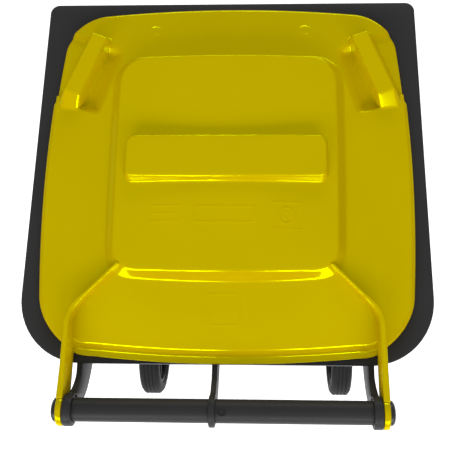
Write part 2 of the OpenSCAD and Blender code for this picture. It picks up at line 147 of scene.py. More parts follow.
def make_object(name, verts, faces, material):
    """One smooth-shaded object. verts are in millimetres, faces is a list of index lists."""
    mesh = bpy.data.meshes.new(name)
    points = [tuple(float(c) * MM for c in v) for v in verts]
    mesh.from_pydata(points, [], [tuple(int(i) for i in f) for f in faces])
    mesh.validate()
    bm = bmesh.new()
    bm.from_mesh(mesh)
    bmesh.ops.remove_doubles(bm, verts=bm.verts, dist=1e-6)
    bmesh.ops.recalc_face_normals(bm, faces=bm.faces)
    bm.to_mesh(mesh)
    bm.free()
    mesh.materials.append(material)
    ob = bpy.data.objects.new(name, mesh)
    bpy.context.collection.objects.link(ob)
    mesh.shade_smooth()
    return ob


def sharpen(mesh, degrees):
    """Marks the edges that turn by more than this as sharp, so the rest shades smoothly."""
    bm = bmesh.new()
    bm.from_mesh(mesh)
    limit = math.radians(degrees)
    for e in bm.edges:
        e.smooth = len(e.link_faces) == 2 and e.calc_face_angle(0) < limit
    for f in bm.faces:
        f.smooth = True
    bm.to_mesh(mesh)
    bm.free()


def bevel(ob, width, segments, angle):
    m = ob.modifiers.new("edge_round", "BEVEL")
    m.width = width * MM
    m.segments = segments
    m.limit_method = "ANGLE"
    m.angle_limit = math.radians(angle)
    m.harden_normals = False
    m.use_clamp_overlap = True


def join_parts(name, parts, material):
    """Joins (verts, faces) lists into one object."""
    verts, faces = [], []
    for v, f in parts:
        base = len(verts)
        verts.extend(v)
        faces.extend([[i + base for i in face] for face in f])
    return make_object(name, verts, faces, material)


def rounded_outline(hw, yf, yr, rf, rr, bx=0.0, byf=0.0, byr=0.0, seg=16, edge=24):
    """Counter-clockwise points of a rounded rectangle whose sides and ends bow outwards."""
    pts = []

    def arc(cx, cy, r, a0, a1):
        for i in range(seg + 1):
            a = math.radians(a0 + (a1 - a0) * i / seg)
            pts.append((cx + r * math.cos(a), cy + r * math.sin(a)))

    def line(p, q):
        for i in range(1, edge):
            t = i / edge
            pts.append((p[0] + (q[0] - p[0]) * t, p[1] + (q[1] - p[1]) * t))

    arc(hw - rr, yr - rr, rr, 0, 90)
    line((hw - rr, yr), (-hw + rr, yr))
    arc(-hw + rr, yr - rr, rr, 90, 180)
    line((-hw, yr - rr), (-hw, yf + rf))
    arc(-hw + rf, yf + rf, rf, 180, 270)
    line((-hw + rf, yf), (hw - rf, yf))
    arc(hw - rf, yf + rf, rf, 270, 360)
    line((hw, yf + rf), (hw, yr - rr))
    yc, hd = (yf + yr) / 2, (yr - yf) / 2
    out = []
    for x, y in pts:
        u, v = x / hw, (y - yc) / hd
        by = byr if v > 0 else byf
        out.append((x + bx * u * (1 - v * v), y + by * v * (1 - u * u)))
    return out


def loft(rings):
    """(verts, faces) of a closed skin through rings of equally many 3-D points."""
    n = len(rings[0])
    verts = [p for r in rings for p in r]
    faces = []
    for k in range(len(rings) - 1):
        for i in range(n):
            j = (i + 1) % n
            faces.append([k * n + i, k * n + j, (k + 1) * n + j, (k + 1) * n + i])
    faces.append(list(range(n))[::-1])
    faces.append([(len(rings) - 1) * n + i for i in range(n)])
    return verts, faces


def at_z(pts, z):
    return [(x, y, z) for x, y in pts]


def x_plate(x0, x1, profile):
    """A flat plate between x0 and x1 with a (y, z) profile."""
    n = len(profile)
    verts = [(x0, y, z) for y, z in profile] + [(x1, y, z) for y, z in profile]
    faces = [[i, (i + 1) % n, n + (i + 1) % n, n + i] for i in range(n)]
    faces += [list(range(n))[::-1], [n + i for i in range(n)]]
    return verts, faces


def revolve_x(profile, y, z, seg=96):
    """A ring about the X line through y and z, from the (x, radius) points of a closed section."""
    n = len(profile)
    verts, faces = [], []
    for k in range(seg):
        a = 2 * math.pi * k / seg
        for px, r in profile:
            verts.append((px, y + r * math.cos(a), z + r * math.sin(a)))
    for k in range(seg):
        k2 = (k + 1) % seg
        for i in range(n):
            j = (i + 1) % n
            faces.append([k * n + i, k * n + j, k2 * n + j, k2 * n + i])
    return verts, faces


def mirrored(part):
    verts, faces = part
    return [(-x, y, z) for x, y, z in verts], [f[::-1] for f in faces]


def round_profile(points, radius, steps=4):
    """Rounds the corners of a closed (a, b) profile."""
    out = []
    n = len(points)
    for i in range(n):
        p0, p1, p2 = Vector(points[i - 1]), Vector(points[i]), Vector(points[(i + 1) % n])
        a, b = (p0 - p1), (p2 - p1)
        la, lb = a.length, b.length
        if la < 1e-6 or lb < 1e-6:
            continue
        ang = a.angle(b)
        r = radius[i] if isinstance(radius, (list, tuple)) else radius
        if ang > math.radians(172) or r <= 0:
            out.append(tuple(p1))
            continue
        cut = min(r / math.tan(ang / 2), la * 0.48, lb * 0.48)
        s, e = p1 + a / la * cut, p1 + b / lb * cut
        for k in range(steps + 1):
            t = k / steps
            q = (s * (1 - t) * (1 - t)) + (p1 * 2 * t * (1 - t)) + (e * t * t)
            out.append(tuple(q))
    return out


# ---------------------------------------------------------------- materials

def new_material(name):
    mat = bpy.data.materials.new(name)
    mat.use_nodes = True
    nt = mat.node_tree
    for n in list(nt.nodes):
        nt.nodes.remove(n)
    out = nt.nodes.new("ShaderNodeOutputMaterial")
    bsdf = nt.nodes.new("ShaderNodeBsdfPrincipled")
    nt.links.new(bsdf.outputs[0], out.inputs[0])
    return mat, nt, bsdf


def plastic(name, colour, dark, rough, rough_var, grain_scale, grain_depth, scuff=0.0,
            wave=0.0, specular=0.5, gloss=None, gloss_share=0.08):
    """Moulded plastic: mottled colour, a fine spark-eroded grain, faint waviness and light scuffs."""
    mat, nt, bsdf = new_material(name)
    new, link = nt.nodes.new, nt.links.new
    coord = new("ShaderNodeTexCoord")

    def noise(scale, detail, rough_=0.5):
        n = new("ShaderNodeTexNoise")
        n.inputs["Scale"].default_value = scale
        n.inputs["Detail"].default_value = detail
        n.inputs["Roughness"].default_value = rough_
        link(coord.outputs["Object"], n.inputs["Vector"])
        return n

    mottle = noise(9.0, 4.0)
    ramp = new("ShaderNodeValToRGB")
    ramp.color_ramp.elements[0].position = 0.3
    ramp.color_ramp.elements[0].color = (*dark, 1)
    ramp.color_ramp.elements[1].position = 0.7
    ramp.color_ramp.elements[1].color = (*colour, 1)
    link(mottle.outputs["Fac"], ramp.inputs["Fac"])
    base = ramp.outputs["Color"]
    if scuff > 0:
        marks = noise(60.0, 8.0, 0.75)
        sel = new("ShaderNodeMapRange")
        sel.inputs["From Min"].default_value = 0.62
        sel.inputs["From Max"].default_value = 0.80
        sel.inputs["To Max"].default_value = scuff
        link(marks.outputs["Fac"], sel.inputs["Value"])
        mix = new("ShaderNodeMix")
        mix.data_type = "RGBA"
        link(sel.outputs["Result"], mix.inputs["Factor"])
        link(base, mix.inputs[6])
        mix.inputs[7].default_value = (*[min(1, c * 1.5 + 0.02) for c in colour], 1)
        base = mix.outputs[2]
    link(base, bsdf.inputs["Base Color"])
    patch = noise(24.0, 5.0)
    rr = new("ShaderNodeMapRange")
    rr.inputs["To Min"].default_value = rough - rough_var
    rr.inputs["To Max"].default_value = rough + rough_var
    link(patch.outputs["Fac"], rr.inputs["Value"])
    link(rr.outputs["Result"], bsdf.inputs["Roughness"])
    bsdf.inputs["Specular IOR Level"].default_value = specular
    if gloss:
        out = bsdf.outputs[0].links[0].to_node
        shine = new("ShaderNodeBsdfPrincipled")
        shine.inputs["Base Color"].default_value = (*gloss, 1)
        shine.inputs["Metallic"].default_value = 1.0
        shine.inputs["Roughness"].default_value = rough
        blend = new("ShaderNodeMixShader")
        blend.inputs[0].default_value = gloss_share
        link(bsdf.outputs[0], blend.inputs[1])
        link(shine.outputs[0], blend.inputs[2])
        link(blend.outputs[0], out.inputs[0])
    grain = noise(grain_scale, 3.0, 0.6)
    bump = new("ShaderNodeBump")
    bump.inputs["Strength"].default_value = 1.0
    bump.inputs["Distance"].default_value = grain_depth
    link(grain.outputs["Fac"], bump.inputs["Height"])
    normal = bump.outputs["Normal"]
    if wave:
        swell = noise(14.0, 1.0)
        soft = new("ShaderNodeBump")
        soft.inputs["Strength"].default_value = 1.0
        soft.inputs["Distance"].default_value = wave
        link(swell.outputs["Fac"], soft.inputs["Height"])
        link(normal, soft.inputs["Normal"])
        normal = soft.outputs["Normal"]
    link(normal, bsdf.inputs["Normal"])
    if gloss:
        link(normal, shine.inputs["Normal"])
    return mat


def steel(name, colour, rough, scale):
    """Zinc-plated steel with drawn lines along X and cloudy plating."""
    mat, nt, bsdf = new_material(name)
    new, link = nt.nodes.new, nt.links.new
    coord = new("ShaderNodeTexCoord")
    mapping = new("ShaderNodeMapping")
    mapping.inputs["Scale"].default_value = (0.12, 1, 1)
    link(coord.outputs["Object"], mapping.inputs["Vector"])
    lines = new("ShaderNodeTexNoise")
    lines.inputs["Scale"].default_value = scale
    lines.inputs["Detail"].default_value = 6
    link(mapping.outputs["Vector"], lines.inputs["Vector"])
    cloud = new("ShaderNodeTexNoise")
    cloud.inputs["Scale"].default_value = 45
    cloud.inputs["Detail"].default_value = 5
    link(coord.outputs["Object"], cloud.inputs["Vector"])
    ramp = new("ShaderNodeValToRGB")
    ramp.color_ramp.elements[0].color = (*[c * 0.7 for c in colour], 1)
    ramp.color_ramp.elements[1].color = (*colour, 1)
    link(cloud.outputs["Fac"], ramp.inputs["Fac"])
    link(ramp.outputs["Color"], bsdf.inputs["Base Color"])
    rr = new("ShaderNodeMapRange")
    rr.inputs["To Min"].default_value = rough - 0.1
    rr.inputs["To Max"].default_value = rough + 0.15
    link(lines.outputs["Fac"], rr.inputs["Value"])
    link(rr.outputs["Result"], bsdf.inputs["Roughness"])
    bump = new("ShaderNodeBump")
    bump.inputs["Distance"].default_value = 0.00004
    link(lines.outputs["Fac"], bump.inputs["Height"])
    link(bump.outputs["Normal"], bsdf.inputs["Normal"])
    bsdf.inputs["Metallic"].default_value = 1.0
    return mat


YELLOW = plastic("lid_yellow_plastic", (0.69, 0.470, 0.0), (0.66, 0.447, 0.0), 0.13, 0.02,
                 900.0, 0.000006, wave=0.0003, specular=0.0, gloss=(0.74, 1.0, 0.0), gloss_share=0.19)
GREY = plastic("bin_grey_plastic", (0.034, 0.034, 0.0355), (0.029, 0.029, 0.0305), 0.46, 0.05,
               1400.0, 0.00004, scuff=0.10, specular=0.18)
BLACK = plastic("pin_black_plastic", (0.018, 0.018, 0.019), (0.013, 0.013, 0.014), 0.38, 0.06,
                1200.0, 0.00003)
WHEEL = plastic("wheel_plastic", (0.020, 0.020, 0.021), (0.015, 0.015, 0.016), 0.45, 0.08, 1200.0, 0.00005,
                scuff=0.12)
RUBBER = plastic("tyre_rubber", (0.009, 0.009, 0.009), (0.006, 0.006, 0.006), 0.66, 0.08, 1600.0, 0.0001,
                 scuff=0.2, specular=0.25)
STEEL = steel("zinc_steel", (0.60, 0.61, 0.62), 0.38, 260.0)
WIRE = steel("spring_wire", (0.42, 0.42, 0.43), 0.35, 500.0)


# ---------------------------------------------------------------- lid

SIDE_BOW, FRONT_BOW, REAR_BOW = 13.5, 14.0, 14.7
OUT_HW = RIM_HW - 30.0
OUT_YF = Y_FRONT + 28.0
OUT_YR = Y_REAR - 0.3 - REAR_BOW
OUT_YC, OUT_HD = (OUT_YF + OUT_YR) / 2, (OUT_YR - OUT_YF) / 2
OUT_RF, OUT_RR = 50.0, 60.0
# Roughly the lid's half size: it turns an inset at the edge into a scale.
OUT_REACH = 216.0

GRIP_C = (RIM_HW - 62.0, Y_FRONT + 102.0)
GRIP_TURN = math.radians(21)
ARM_X0 = BRACKET_X + REST_GAP
ARM_T = 6.8
ARM_MID = ARM_X0 + ARM_T / 2
BEND = (ARM_MID, Y_REAR - 57.0)
RIB_END = (121.0, Y_REAR - 109.0)
LIP_Z = LID_Z + 3.9
CREST_Z = LID_Z + 12.4
MARK_RELIEF, MARK_HALF = 0.5, 0.8

# The plateau's top and its foot: half width, front and rear, then bows, then corner radii.
SLOPE_TOP_Z = RIM_Z + 26.3
PLATEAU_Z = RIM_Z + 42.0
TOP_BOX, TOP_BOWS, TOP_RADII = (128.0, Y_FRONT + 97, Y_REAR - 105.5), (1.0, 1.5, 4.2), (29.0, 25.5)
FOOT_BOX, FOOT_BOWS, FOOT_RADII = (141.5, Y_FRONT + 92, Y_REAR - 92.5), (1.5, 1.5, 5.0), (37.0, 27.0)

# The raised panel's top and foot: half width, front, rear and the two corner radii.
PANEL_TOP = (116.5, Y_FRONT + 202.4, Y_FRONT + 250.6, 10.0, 8.0)
PANEL_FOOT = (119.3, Y_FRONT + 200.6, Y_FRONT + 257.6, 12.0, 11.0)

# The finger trough inside a grip and the step outside it, in the grip's own coordinates.
TROUGH_MID, TROUGH_DEPTH = -16.0, 9.5
TROUGH_EDGE, TROUGH_FLOOR = (30.0, -39.0, 54.0, 6.0, 16.0), (26.0, -28.5, 46.0, 3.0, 11.0)
STEP_MID, STEP_DEPTH = 30.0, 6.0
STEP_EDGE, STEP_FLOOR = (21.0, -43.0, 46.0, 2.0, 2.0), (21.0, -34.0, 42.5, 1.5, 1.5)
GRIP_HW, GRIP_REAR, GRIP_FRONT = 10.3, 39.5, 43.5
GRIP_TOP_Z = RIM_Z + 31.3
GRIP_FALL = 17.5

RIB_TOP_Z = RIM_Z + 36.6
RIB_HALF = 1.8


def box_sdf(x, y, hw, yf, yr, rf, rr):
    """Signed distance outwards from a rounded rectangle with its own front and rear radii."""
    yc, hd = (yf + yr) / 2, (yr - yf) / 2
    qy = y - yc
    r = np.where(qy > 0, rr, rf)
    dx, dy = np.abs(x) - (hw - r), np.abs(qy) - (hd - r)
    outside = np.hypot(np.maximum(dx, 0), np.maximum(dy, 0))
    inside = np.minimum(np.maximum(dx, dy), 0)
    return outside + inside - r


def unbow(x, y, hw, yf, yr, bx, byf, byr):
    """Undoes the bowing of rounded_outline."""
    yc, hd = (yf + yr) / 2, (yr - yf) / 2
    x0, y0 = x.copy(), y.copy()
    for _ in range(6):
        u, v = np.clip(x0 / hw, -1.1, 1.1), np.clip((y0 - yc) / hd, -1.1, 1.1)
        by = np.where(v > 0, byr, byf)
        x0 = x - bx * u * (1 - v * v)
        y0 = y - by * v * (1 - u * u)
    return x0, y0


def grip_local(x, y):
    """Coordinates along and across the corner grip, for either side."""
    dx, dy = np.abs(x) - GRIP_C[0], y - GRIP_C[1]
    c, s = math.cos(GRIP_TURN), math.sin(GRIP_TURN)
    return c * dx - s * dy, s * dx + c * dy


def smooth_min(a, b, k):
    h = np.clip(0.5 + 0.5 * (b - a) / k, 0, 1)
    return b + (a - b) * h - k * h * (1 - h)


def smooth_max(a, b, k):
    return -smooth_min(-a, -b, k)


def ease(t, s):
    """0 to 1 in a straight ramp whose two ends are rounded over the share s."""
    t = np.clip(t, 0, 1)
    low = t * t / (2 * s * (1 - s))
    mid = (t - s / 2) / (1 - s)
    high = 1 - (1 - t) ** 2 / (2 * s * (1 - s))
    return np.where(t < s, low, np.where(t > 1 - s, high, mid))


def between(foot, top):
    """0 outside the foot outline, 1 inside the top outline, from their signed distances."""
    a, b = np.maximum(-foot, 0), np.maximum(top, 0)
    return a / np.maximum(a + b, 1e-6)


def quarter_round(t):
    """1 at t = 0, falling along a quarter circle to 0 at t = 1."""
    return 1 - np.sqrt(np.maximum(1 - (1 - np.clip(t, 0, 1)) ** 2, 0))


def bowed_sdf(x, y, box, bows, radii):
    """Signed distance outwards from a rounded rectangle with bowed sides."""
    u, v = unbow(x, y, *box, *bows)
    return box_sdf(u, v, *box, *radii)


def climb(run, foot_sdf):
    """The straight slope up to the plateau's foot, by the way already run from the crest."""
    run = np.maximum(run, 0)
    t = run / np.maximum(run + np.maximum(foot_sdf, 0), 1e-3)
    return CREST_Z + (SLOPE_TOP_Z - CREST_Z) * t


def rear_stretch(x):
    """How far the rear lip reaches past the rounded outline, close to the hinge arms."""
    ax = np.abs(x)
    return 2.3 * smooth_step(146.0, 171.0, ax) * (1 - smooth_step(172.5, 178.0, ax))


def lid_height(x, y):
    """Height of the lid's outer skin above the ground, in millimetres."""
    y_in = y - rear_stretch(x) * smooth_step(Y_REAR - 46, Y_REAR - 18, y)
    d = -bowed_sdf(x, y_in, (OUT_HW, OUT_YF, OUT_YR), (SIDE_BOW, FRONT_BOW, REAR_BOW), (OUT_RF, OUT_RR))
    # The plateau narrows a little towards the rear.
    xt = x / (1 - 0.0001 * (y - Y_FRONT - 224))
    top_sdf = bowed_sdf(xt, y, TOP_BOX, TOP_BOWS, TOP_RADII)
    foot_sdf = bowed_sdf(xt, y, FOOT_BOX, FOOT_BOWS, FOOT_RADII)
    # Slope from the dome's edge up to the plateau's foot.
    front = smooth_step(OUT_YF + 60, OUT_YF + 10, y)
    fillet = 8.0 - 2.5 * front
    plain = climb(d - fillet, foot_sdf) - 9.0 * quarter_round(d / fillet)
    # The flat lip behind the dome, between the hinge arms, and the bank up from it.
    lip_w, lip_round, lip_drop = 6.4, 1.6, 1.5
    bank_grade, bank_reach = 1.12, 7.0
    lip = LIP_Z - lip_drop * quarter_round(d / lip_round)
    bank = LIP_Z + bank_grade * (d - lip_w)
    rear_z = smooth_max(lip, smooth_min(bank, climb(d - lip_w - bank_reach, foot_sdf), 2.0), 3.2)
    rear = (1 - smooth_step(172.0, 179.0, np.abs(x))) * smooth_step(60.0, 120.0, y)
    z = plain * (1 - rear) + rear_z * rear
    # Plateau, crowned from side to side.
    top = PLATEAU_Z - 4.6 * (np.abs(x) / 115.0) ** 2 - 1.2 * ((y - Y_FRONT - 227) / 128.0) ** 2
    z = z + (top - z) * ease(between(foot_sdf, top_sdf), 0.24)
    # Raised panel with a flat top and a long bank at the rear.
    rise = np.maximum(LID_TOP - 0.3 - top, 0)
    z = z + rise * ease(between(box_sdf(x, y, *PANEL_FOOT), box_sdf(x, y, *PANEL_TOP)), 0.22)
    return add_grips(x, y, z)


def add_grips(x, y, z):
    """Corner grips with a finger trough inside and a shallow step outside."""
    gx, gy = grip_local(x, y)
    skew = gx + 0.06 * (gy + 30)
    t_edge = box_sdf(skew - TROUGH_MID, gy, *TROUGH_EDGE)
    t_floor = box_sdf(skew - TROUGH_MID, gy, *TROUGH_FLOOR)
    across = smooth_step(-39.0, -19.0, skew) * (1 - smooth_step(2.0, 9.0, skew))
    z = z - TROUGH_DEPTH * ease(between(t_edge, t_floor), 0.3) * across
    s_edge = box_sdf(gx - STEP_MID, gy, *STEP_EDGE)
    s_floor = box_sdf(gx - STEP_MID, gy, *STEP_FLOOR)
    z = z - STEP_DEPTH * ease(between(s_edge, s_floor), 0.25) * smooth_step(8.0, 12.0, gx)
    # The grip falls away beyond its half width, and beyond its front and rear ends.
    lean = np.where(gx > 0, 8.0, 3.0)
    ax = np.clip((np.abs(gx) - GRIP_HW) / lean, 0, 4)
    past_rear, past_front = (gy - GRIP_REAR) / 19.0, (-gy - GRIP_FRONT) / 4.0
    ay = np.where(gy > 0, np.clip(past_rear, 0, 4), np.clip(past_front, 0, 4))
    grip_z = GRIP_TOP_Z - GRIP_FALL * (np.hypot(ax + 0.10, ay + 0.10) - 0.14)
    return smooth_max(z, grip_z, 1.5)


def mark_line(distance):
    """The relief of a thin line, by the distance from its middle."""
    return np.clip(1.4 - np.abs(distance) / MARK_HALF, 0, 1)


def lid_marks(x, y):
    """Shallow plain marks in relief: rings, blank frames and short bars."""
    lift = np.zeros_like(x)
    rings = ((94.5, Y_FRONT + 50.5, 6.6), (-95.5, Y_FRONT + 50.5, 6.6), (-70.5, Y_FRONT + 296.5, 9.0))
    frames = ((0.9, Y_REAR - 59.0, 17.5, 17.0), (0.8, Y_FRONT + 295.5, 35.0, 9.0))
    bars = ((69.0, Y_FRONT + 285.5, 17.0), (69.0, Y_FRONT + 294.5, 14.0), (69.0, Y_FRONT + 303.5, 17.0),
            (-71.0, Y_FRONT + 281.5, 18.0), (-71.0, Y_FRONT + 312.5, 18.0))
    for cx, cy, r0 in rings:
        r = np.hypot(x - cx, y - cy)
        lift += mark_line(r - r0)
        lift += 0.6 * mark_line(r - r0 * 0.45)
    for cx, cy, hx, hy in frames:
        q = box_sdf(x - cx, y, hx, cy - hy, cy + hy, 1.5, 1.5)
        lift += mark_line(q)
    for cx, cy, hx in bars:
        q = box_sdf(x - cx, y, hx, cy - 1.2, cy + 1.2, 1.0, 1.0)
        lift += 0.7 * np.clip(-q / MARK_HALF, 0, 1)
    return MARK_RELIEF * np.clip(lift, 0, 1)


def square_grid(values):
    """Maps a square grid onto the lid's outline: every ring of the square is a smaller copy of it."""
    outline = np.array(rounded_outline(OUT_HW, OUT_YF, OUT_YR, OUT_RF, OUT_RR, SIDE_BOW, FRONT_BOW, REAR_BOW,
                                       seg=40, edge=60))
    centre = np.array([0.0, OUT_YC])
    rel = outline - centre
    ang = np.arctan2(rel[:, 1] / OUT_HD, rel[:, 0] / OUT_HW)
    order = np.argsort(ang)
    ang, rel = ang[order], rel[order]
    ang = np.concatenate([ang - 2 * math.pi, ang, ang + 2 * math.pi])
    rel = np.concatenate([rel, rel, rel])
    a, b = np.meshgrid(values, values, indexing="ij")
    rho = np.maximum(np.abs(a), np.abs(b))
    theta = np.arctan2(b, a)
    x = np.interp(theta, ang, rel[:, 0]) * rho
    y = np.interp(theta, ang, rel[:, 1]) * rho + centre[1]
    return x, y


def grid_faces(n, flip=False, base=0):
    i, j = np.meshgrid(np.arange(n - 1), np.arange(n - 1), indexing="ij")
    a = (i * n + j + base).ravel()
    f = np.stack([a, a + n, a + n + 1, a + 1], axis=1)
    return f[:, ::-1] if flip else f


def ring_index(n):
    """Indices round the border of an n by n grid, counter-clockwise."""
    top = n - 1
    return ([(i, 0) for i in range(0, top)] + [(top, j) for j in range(0, top)] +
            [(i, top) for i in range(top, 0, -1)] + [(0, j) for j in range(top, 0, -1)])


LID_COLUMNS = 321
LID_SKIN = 2.6
# The share of the lid's outline beyond which the grid is finer.
LID_EDGE = 0.93


def mesh_from_arrays(name, verts, faces, material):
    """One smooth-shaded object from arrays of points, in millimetres, and of four-sided faces."""
    mesh = bpy.data.meshes.new(name)
    mesh.vertices.add(len(verts))
    mesh.vertices.foreach_set("co", (verts * MM).astype(np.float32).ravel())
    mesh.loops.add(len(faces) * 4)
    mesh.loops.foreach_set("vertex_index", faces.astype(np.int32).ravel())
    mesh.polygons.add(len(faces))
    mesh.polygons.foreach_set("loop_start", np.arange(0, len(faces) * 4, 4, dtype=np.int32))
    mesh.update(calc_edges=True)
    mesh.validate()
    bm = bmesh.new()
    bm.from_mesh(mesh)
    bmesh.ops.remove_doubles(bm, verts=bm.verts, dist=2e-7)
    bmesh.ops.recalc_face_normals(bm, faces=bm.faces)
    bm.to_mesh(mesh)
    bm.free()
    mesh.materials.append(material)
    mesh.shade_smooth()
    ob = bpy.data.objects.new(name, mesh)
    bpy.context.collection.objects.link(ob)
    return ob


def make_lid():
    """The lid's moulding as one closed mesh: outer skin, inner skin and the edge between them."""
    inner = np.linspace(-LID_EDGE, LID_EDGE, LID_COLUMNS)
    # Rings get closer towards the edge, where the skin turns down.
    edge = [0.9795, 0.983, 0.986, 0.989, 0.9915, 0.9935, 0.9955, 0.997, 0.9985, 0.9995, 1.0]
    fine = np.concatenate([np.linspace(0.934, 0.976, 12), edge])
    values = np.concatenate([-fine[::-1], inner, fine])
    n = len(values)
    x, y = square_grid(values)
    # The step beside each grip pulls the lid's side in a little.
    rho = np.maximum(np.abs(values)[:, None], np.abs(values)[None, :])
    pull = 3.8 * smooth_step(Y_FRONT + 50, Y_FRONT + 78, y) * smooth_step(Y_FRONT + 149, Y_FRONT + 144, y)
    x = x - np.sign(x) * pull * smooth_step(LID_EDGE, 1.0, rho) * smooth_step(175, 200, np.abs(x))
    y = y + rear_stretch(x) * smooth_step(0.80, LID_EDGE, rho) * (y > Y_REAR - 60)
    z = lid_height(x, y) + lid_marks(x, y)
    outer = np.stack([x.ravel(), y.ravel(), z.ravel()], axis=1)
    # Inner skin: the same grid, moved in at the edge and down by the wall.
    shrink = 1 - LID_SKIN / OUT_REACH
    xi, yi = x * shrink, (y - OUT_YC) * shrink + OUT_YC
    zi = np.maximum(lid_height(xi, yi) - LID_SKIN, LID_Z + 0.4)
    inner_pts = np.stack([xi.ravel(), yi.ravel(), zi.ravel()], axis=1)
    nn = n * n
    verts = [outer, inner_pts]
    faces = [grid_faces(n), grid_faces(n, True, nn)]
    border = np.array([i * n + j for i, j in ring_index(n)])
    m = len(border)
    # Down the outer edge, across the underside and up the inner edge.
    levels = []
    base = 2 * nn
    top_edge = outer[border]
    for z_level, inset in ((0.55, 0.0), (0.08, 0.0), (0.0, 0.35)):
        p = top_edge.copy()
        p[:, 2] = LID_Z + (top_edge[:, 2] - LID_Z) * z_level
        p[:, 0] *= 1 - inset / OUT_REACH
        p[:, 1] = (p[:, 1] - OUT_YC) * (1 - inset / OUT_REACH) + OUT_YC
        verts.append(p)
        levels.append(np.arange(base, base + m))
        base += m
    low = inner_pts[border].copy()
    low[:, 2] = LID_Z
    verts.append(low)
    levels.append(np.arange(base, base + m))
    chain = [border] + levels + [border + nn]
    for a, b in zip(chain[:-1], chain[1:]):
        q = np.stack([a, b, np.roll(b, -1), np.roll(a, -1)], axis=1)
        faces.append(q)
    return mesh_from_arrays("lid_shell", np.concatenate(verts), np.concatenate(faces), YELLOW)


def wall_strip(path, tops, bottoms, half, soft):
    """A thin upright wall along a path of (x, y) points, with a rounded top edge."""
    rings = []
    n = len(path)
    for i in range(n):
        p = Vector(path[i])
        a = Vector(path[max(i - 1, 0)])
        b = Vector(path[min(i + 1, n - 1)])
        d = (b - a).normalized()
        side = Vector((-d.y, d.x))
        h, s = half[i], soft[i]
        zt, zb = tops[i], bottoms[i]
        prof = [(-h, zb), (-h, zt - s)]
        for k in range(1, 5):
            turn = math.radians(90 * k / 4)
            prof.append((-h + s * (1 - math.cos(turn)), zt - s * (1 - math.sin(turn))))
        prof += [(-o, z) for o, z in reversed(prof)]
        ring = []
        for off, zz in prof:
            q = p + side * off
            ring.append((q.x, q.y, zz))
        rings.append(ring)
    return loft(rings)


def lid_arm_parts():
    """The rib from the plateau's corner, its bend, and the arm that runs back to the hinge."""
    pts = []
    a, b = Vector(RIB_END), Vector(BEND)
    back = Vector((ARM_MID, HINGE_Y - 10))
    run = 15.0
    steps = 12
    d1, d2 = (b - a).normalized(), (back - b).normalized()
    s, e = b - d1 * run, b + d2 * run
    for k in range(steps):
        pts.append(a + (s - a) * (k / steps))
    for k in range(steps + 1):
        t = k / steps
        pts.append(s * (1 - t) ** 2 + b * 2 * t * (1 - t) + e * t * t)
    for k in range(1, steps + 1):
        pts.append(e + (back - e) * (k / steps))
    total = [0.0]
    for i in range(1, len(pts)):
        total.append(total[-1] + (pts[i] - pts[i - 1]).length)
    rib_len = total[steps + steps // 2]
    tops, bottoms, half, soft = [], [], [], []
    for i, p in enumerate(pts):
        t = min(total[i] / rib_len, 1.0)
        back_t = max(total[i] / rib_len - 1, 0)
        tops.append(RIB_TOP_Z - 5.6 * t + min(back_t * 6, 0.8))
        sx = np.array([min(p.x, ARM_MID)])
        surface = float(lid_height(sx, np.array([min(p.y, Y_REAR - 14)]))[0])
        bottoms.append(surface - 2.2 if p.y < Y_REAR - 13 else RIM_Z + 1.6)
        widen = float(smooth_step(0.55, 1.0, np.array(total[i] / rib_len)))
        half.append(RIB_HALF + (ARM_T / 2 - RIB_HALF) * widen)
        soft.append(1.2 + 0.9 * widen)
    return wall_strip([tuple(p) for p in pts], tops, bottoms, half, soft)


def arm_eye():
    """The arm's round end, pierced for the pin."""
    r0, r1 = 9.15, 17.2
    x0, x1 = ARM_X0, ARM_X0 + ARM_T
    prof = [(x0, r0 + 0.4), (x0, r1 - 1.2), (x0 + 0.4, r1 - 0.35), (x0 + 1.3, r1), (x1 - 2.2, r1),
            (x1 - 1.2, r1 - 0.3), (x1 - 0.4, r1 - 1.0), (x1, r1 - 2.2), (x1, r0 + 0.4), (x1 - 0.4, r0),
            (x0 + 0.4, r0)]
    return revolve_x(prof, HINGE_Y, HINGE_Z, 96)


def arm_web():
    """The plate between the eye and the arm over the lid's rear lip."""
    y_a = Y_REAR - 14.0
    prof = [(y_a, RIM_Z + 1.6), (HINGE_Y - 34, RIM_Z + 1.6), (HINGE_Y - 12, HINGE_Z - 13.6),
            (HINGE_Y - 10.5, HINGE_Z), (HINGE_Y - 10.5, HINGE_Z + 12.0), (HINGE_Y - 13, HINGE_Z + 14.5),
            (y_a, RIM_Z + 28.0)]
    return x_plate(ARM_X0 + 0.02, ARM_X0 + ARM_T - 0.02, prof)


lid_shell = make_lid()
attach(lid_shell, "lid")
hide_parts("lid")
for label, flip in (("right", False), ("left", True)):
    pieces = [lid_arm_parts(), arm_eye(), arm_web()]
    if flip:
        pieces = [mirrored(p) for p in pieces]
    arm = join_parts(f"lid_arm_{label}", pieces, YELLOW)
    sharpen(arm.data, 40)
    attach(arm, "lid")


# ---------------------------------------------------------------- body

THROAT_HW = RIM_HW - 32.0
THROAT_YF = Y_FRONT + 38.0
THROAT_YR = Y_REAR - 19.0
COLLAR_Z = RIM_Z - 140.0
COLLAR_STEP = 6.0
SHOULDER_H = 12.0
BASE_TAPER = 44.0
FRONT_TAPER = 32.0
REAR_TAPER = 14.0
THROAT_R = 45.0
FLOOR_UNDER = 18.0
WALL = 4.0
RECESS_Y = AXLE_Y - 56.0
RECESS_Z = 180.0
WALL_SEG, WALL_EDGE = 14, 10
RIM_RF, RIM_RR = 12.0, 76.0
BRACKET_T = 10.0
AXLE_RIB_T = 5.0
AXLE_RIB_XS = (155.0, 52.0)
COMB_WEB_XS = (48.0, 148.0)
EYE_GAP = 0.1
END_EYE_R, MID_EYE_R, AXLE_EYE_R = 17.3, 17.0, 21.8
MID_X0, MID_X1 = 7.5, 14.5
LIP_DROP = 24.0
COMB_DROP = 38.0
